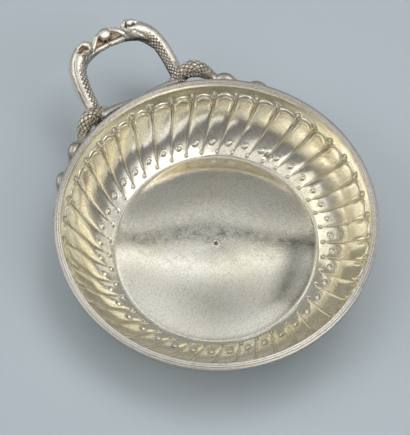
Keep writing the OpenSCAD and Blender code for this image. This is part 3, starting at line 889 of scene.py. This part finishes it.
def serpent(name, side, half_w, slim, hump, look, node):
    """Models, chases and marks one serpent on the +X side, and turns it over for the other side."""
    draw = np.random.default_rng(7)
    body, _, body_run = body_line(half_w)
    foot_way = np.array([-0.26, -0.43, 1.0])
    body = body + ease(8, 1, body_run)[:, None] * foot_way * look["raised_foot"]
    slope = np.linspace(0, 1, len(body))
    body_radius = body_r * (0.94 + 0.16 * slope) * (1 + (slim - 1) * np.sin(np.pi * slope))
    tail, tail_radius, tail_run = tail_line(*hump)
    web, web_radius, web_run = tail_line(*hump[:3], 0.65 * hump[3], 0.5 * hump[4], *hump[5:])
    web_radius = web_radius * (0.5 + 0.35 * swell(web_run - 9.5, 5.0))
    skull, hinge = (6.5, -1.66, 0, 2.25), (8.2, -4.1, 0.1, 1.5)
    head = [
        [skull, (5.7, -1.2, 0.2, 1.5)],
        [skull, (7.2, -3.0, 0.3, 1.75), hinge],
        [hinge, (9.6, -5.5, -0.1, 1.45), (11.2, -7.8, -0.1, 1.5)],
        [hinge, (5.4, -3.3, -0.1, 1.1), (3.0, -3.0, -0.3, 0.85), (0.7, -2.9, -0.4, 0.8)],
        [(4.9, -2.9, -0.9, 0.75), (0.7, -2.3, -1.2, 0.75)],
        [(4.6, -2.2, -0.7, 0.75), (0.7, -1.6, -1.45, 0.75)],
        [(4.2, -1.4, -0.4, 0.65), (0.7, -0.9, -1.7, 0.75)],
        [(3.6, -0.8, -0.2, 0.55), (0.7, -0.3, -1.8, 0.65)],
    ]
    solids = [tube(body, body_radius, plane_up), tube(tail, tail_radius, upright)]
    solids.append(tube(web, web_radius, upright))
    for stops in head:
        solids += balls_along(in_handle(stops))
    for stops in (look["brow"], look["lip"]):
        solids += balls_along(in_handle(stops), flat=0.6)
    points, faces, edges, normals = fuse(name, solids, voxel=0.09, rounds=3)

    # places on the body, on the tail and in the handle's plane
    at_body, from_body = nearest(points, body)
    at_tail, from_tail = nearest(points, tail)
    belongs = from_body / body_radius[at_body] < from_tail / tail_radius[at_tail]
    round_body = round_line(points, body, plane_up, at_body)
    round_tail = round_line(points, tail, upright, at_tail)
    flat = np.stack([points[:, 0], (points - bead_at) @ plane_out], -1)
    high = (points - bead_at) @ plane_up
    facing = normals @ plane_up

    # chased work: scales up the inside of the neck, ribs at its foot, scales on the hump, the face
    run, whole = body_run[at_body], body_run[-1]
    ribs_end, rib_pitch = look["ribs"], 0.85
    outer = np.cos(round_body)
    on_neck = ease(3.5, 5.5, whole - run) * belongs
    inner_part = ease(0.1, -0.3, outer) * ease(0.88, 0.58, run / whole)
    scaly = on_neck * np.maximum(inner_part, ease(ribs_end + 3, ribs_end, run))
    ribs = on_neck * ease(ribs_end + 1, ribs_end - 1, run)
    ribs = ribs * ease(0.2, 0.8, np.abs(2 * np.mod(run / rib_pitch, 1) - 1))
    along_tail = tail_run[at_tail]
    on_hump = (~belongs) * ease(17, 13, along_tail)
    neck_cut = scaly * scales(run, round_body * body_r, pitch=1.25, cut_from=0.52)
    hump_cut = on_hump * scales(along_tail, round_tail * tail_r, pitch=1.45, cut_from=0.62)
    cut = np.maximum.reduce([neck_cut, ribs, hump_cut])
    topside = ease(0.1, 0.5, facing) * (high > 0.3)
    carved = np.zeros(len(points))
    for path, width, depth in look["carved"]:
        carved = np.maximum(carved, depth * swell(from_path(flat, path), width))
    raised = np.zeros(len(points))
    for middle, width, rise in look["raised"]:
        from_knob = np.linalg.norm((flat - middle) / width, axis=1)
        raised = np.maximum(raised, rise * swell(from_knob, 1.0))
    crease = look["crease"] * on_neck * swell((round_body - 1.15) * body_r, 0.14)
    crease = crease * ease(0.25, 0.4, run / whole)
    rough = 0.016 * ripple(points, 2.4, draw) + 0.003 * ripple(points, 0.7, draw)
    lift = -0.2 * cut + topside * (raised - carved) - 0.1 * crease + rough
    points = points + lift[:, None] * normals

    # seat of the bead, the gap between the two heads, and the top of the casting
    away = points - bead_at
    apart = np.linalg.norm(away, axis=1)
    seated = bead_at + away * (seat_r / apart)[:, None]
    points = np.where((apart < seat_r)[:, None], seated, points)
    points[:, 0] = np.maximum(points[:, 0], half_gap)
    points[:, 2] = np.minimum(points[:, 2], head_top)

    # dirt in the cuts and hollows, painted shade on the flanks and along the jaw, darker along the
    # tail past the hump, and brown rust in the mouth and the brow
    hollow = np.clip(crevices(points, normals, edges, rounds=24) / 0.08, 0, 1)
    broad_hollow = np.clip(crevices(points, normals, edges, rounds=110) / 0.35, 0, 0.9)
    # painted shade on the sides and undersides, by the way each point faces
    inner_flank_shade = 0.8 * ease(0.55, 0.2, facing)
    outer_flank_shade = 0.55 * ease(look["flank_shade"], look["flank_shade"] - 0.4, facing)
    jaw_edge = [(4.4, -4.0), (6.6, -4.85), (8.2, -5.5), (9.7, -6.8)]
    # the grime mask: dirt in cuts and hollows, with painted shade on the flanks and along the jaw
    grime = np.maximum.reduce(
        [
            hollow,
            broad_hollow * ease(1.3, 0.5, high),
            np.clip(topside * carved / 0.42, 0, 0.9),
            cut,
            np.where(outer < 0, inner_flank_shade, outer_flank_shade),
            0.6 * crease,
            look["jaw_shade"] * swell(from_path(flat, jaw_edge), 0.75),
            0.4 * (~belongs) * ease(12, 17, along_tail),
        ]
    )
    mouth = ease(5.2, 4.2, flat[:, 0]) * ease(0.1, -0.3, high) * ease(-3.0, -2.6, flat[:, 1])
    mouth_rust = 0.85 * mouth * (0.6 + 0.3 * ripple(points, 0.9, draw))
    brow_rust = look["brow_rust"] * np.clip(topside * carved / 0.4, 0, 1)
    rust = np.maximum.reduce([mouth_rust, 0.2 * on_hump * cut, brow_rust])
    mesh = shape_mesh(name, points * (side, 1, 1), faces if side > 0 else faces[:, ::-1])
    mark(mesh, "grime", spread(np.clip(grime, 0, 1), edges, 1))
    mark(mesh, "rust", np.clip(rust, 0, 1))
    carry(name, mesh, cast_silver, "cast_silver", node)


left_look = {
    "brow": [
        (9.0, -2.2, 1.5, 0.75), (7.9, -1.0, 1.7, 0.8), (6.6, -0.5, 1.7, 0.85),
        (5.6, -1.0, 1.5, 0.75), (5.4, -1.7, 1.3, 0.65),
    ],
    "lip": [
        (5.1, -2.95, 0.6, 0.72), (4.4, -2.2, 0.85, 0.7), (3.5, -1.2, 0.9, 0.66),
        (2.6, -0.1, 0.8, 0.6), (1.95, 0.25, 0.7, 0.5),
    ],
    "carved": [
        ([(8.35, -1.9), (7.2, -1.35), (6.2, -1.9)], 0.5, 0.5),
        ([(5.4, -3.2), (6.6, -3.9)], 0.22, 0.2),
    ],
    "raised": [((7.75, -3.0), (0.6, 0.42), 0.6)],
    "ribs": 2.5,
    "crease": 1.0,
    "flank_shade": 0.15,
    "jaw_shade": 0.3,
    "brow_rust": 0.18,
    "raised_foot": 0.0,
}
right_look = {
    "brow": [
        (8.6, -0.9, 1.5, 0.75), (7.6, -0.3, 1.7, 0.8), (6.3, 0.0, 1.7, 0.86),
        (5.4, -0.3, 1.6, 0.82), (5.0, -0.85, 1.4, 0.72),
    ],
    "lip": [
        (4.95, -2.75, 0.7, 0.74), (4.4, -1.95, 0.95, 0.75), (3.6, -0.95, 1.0, 0.72),
        (2.7, -0.2, 0.9, 0.66), (1.9, 0.2, 0.75, 0.55),
    ],
    "carved": [
        ([(6.2, -0.9), (6.95, -1.3), (8.0, -1.2)], 0.24, 0.42),
        ([(6.2, 0.0), (5.9, -0.5), (5.65, -1.2)], 0.22, 0.4),
    ],
    "raised": [((7.3, -2.0), (0.9, 0.5), 0.12)],
    "ribs": 3.0,
    "crease": 0.0,
    "flank_shade": 0.62,
    "jaw_shade": 0.95,
    "brow_rust": 0.05,
    "raised_foot": 2.0,
}
left_hump = (19.5, 10, 3.2, 3.6, 1.5, 31.5, 4.0, 1.9)
right_hump = (22, 10.5, 3.4, 4.5, 1.7, 33.5, 3.3, 1.3)
serpent("serpent_left", -1, left_half, 1.02, left_hump, left_look, "left_serpent")
serpent("serpent_right", 1, right_half, 0.93, right_hump, right_look, "right_serpent")


# Bead. A small lump of cast silver that both serpents bite, filed round by hand and soldered in
# between their jaws. Its top is worn flat, and it is darker on its underside.
bead_r, bead_wide, bead_top = 1.6, 1.12, 1.15
bead_points, bead_quads, bead_fans = ball(bead_at, bead_r, sides=64, tiers=40)
bead_way = (bead_points - bead_at) / bead_r
filed = 0.99 + 0.05 * ripple(bead_way, 1.1, np.random.default_rng(3))
bead_points = bead_at + (bead_points - bead_at) * filed[:, None] * (bead_wide, 1, 1)
bead_high = (bead_points - bead_at) @ plane_up
worn_high = np.where(bead_high > 0, bead_top * np.tanh(bead_high / bead_top), bead_high)
bead_points = bead_points + (worn_high - bead_high)[:, None] * plane_up
bead_points[:, 1] = np.minimum(bead_points[:, 1], bead_at[1] + bead_r - 0.02)
bead_mesh = shape_mesh("bitten_bead", bead_points, bead_quads[:, ::-1], bead_fans[:, ::-1])
# darker on the underside of the bead
mark(bead_mesh, "grime", ease(0.1, -0.7, bead_way @ plane_up))
bead_silver = silver(
    "bead_silver",
    dict(Length=4.0, Grain=1.0),
    Polished=(0.82, 0.79, 0.74, 1),
    Yellowed=(0.58, 0.51, 0.42, 1),
    Blackened=(0.12, 0.07, 0.035, 1),
    Cloud_Size=420.0,
    Cloud_Share=0.5,
    Smooth=0.24,
    Rough=0.42,
)
carry("bitten_bead", bead_mesh, bead_silver, "wire_silver", "bead")


# Jaw solder. A thin film of silver solder that was run in under the bead and joins the two lower
# jaws. The heat browned it.
jaw_film = silver(
    "jaw_film",
    dict(Length=4.0, Grain=0.9),
    Polished=(0.84, 0.79, 0.70, 1),
    Yellowed=(0.60, 0.47, 0.33, 1),
    Blackened=(0.08, 0.05, 0.03, 1),
    Cloud_Size=500.0,
    Cloud_Share=0.9,
    Smooth=0.28,
    Rough=0.5,
)
dress("jaw_solder", jaw_film)


# Foot solders. A tongue of silver solder runs from each leg along the wall under the rim, smoothed
# with a file and darkened since.
foot_film = silver(
    "foot_film",
    dict(Length=8.0, Grain=0.7),
    Polished=(0.78, 0.76, 0.72, 1),
    Yellowed=(0.55, 0.51, 0.45, 1),
    Blackened=(0.06, 0.05, 0.04, 1),
    Cloud_Size=300.0,
    Cloud_Share=0.7,
    Smooth=0.2,
    Rough=0.4,
)


def foot_solder(name, side, half_w, thick, node):
    """A tongue that thins from the leg towards the middle of the handle, lying on the rim wire."""
    shares = np.linspace(0, 1, 9)
    leg_at, tip_at, tip_r = math.degrees(math.atan2(half_w, leg_r)), 5.5, 0.5
    angle = np.radians(leg_at - 2 - (leg_at - tip_at) * shares)
    radius = thick * (1 - shares) + tip_r * shares
    reach = rim_r + 0.72 * radius
    middle = [reach * np.sin(angle), reach * np.cos(angle), rim_z - 1.2 + 0 * angle]
    stops = np.column_stack([*middle, radius])
    points, faces, _, _ = fuse(name, balls_along(stops), voxel=0.1, rounds=8)
    radial = np.hypot(points[:, 0], points[:, 1])
    points[:, :2] *= (np.maximum(radial, rim_r + 0.01) / radial)[:, None]
    mesh = shape_mesh(name, points * (side, 1, 1), faces if side > 0 else faces[:, ::-1])
    # darker where the tongue meets the rim wire
    mark(mesh, "grime", 0.1 + 0.7 * ease(rim_r + 0.6, rim_r + 0.1, radial))
    carry(name, mesh, foot_film, "solder", node)


foot_solder("foot_tongue_left", -1, left_half, 1.6, "left_foot_solder")
foot_solder("foot_tongue_right", 1, right_half, 1.1, "right_foot_solder")
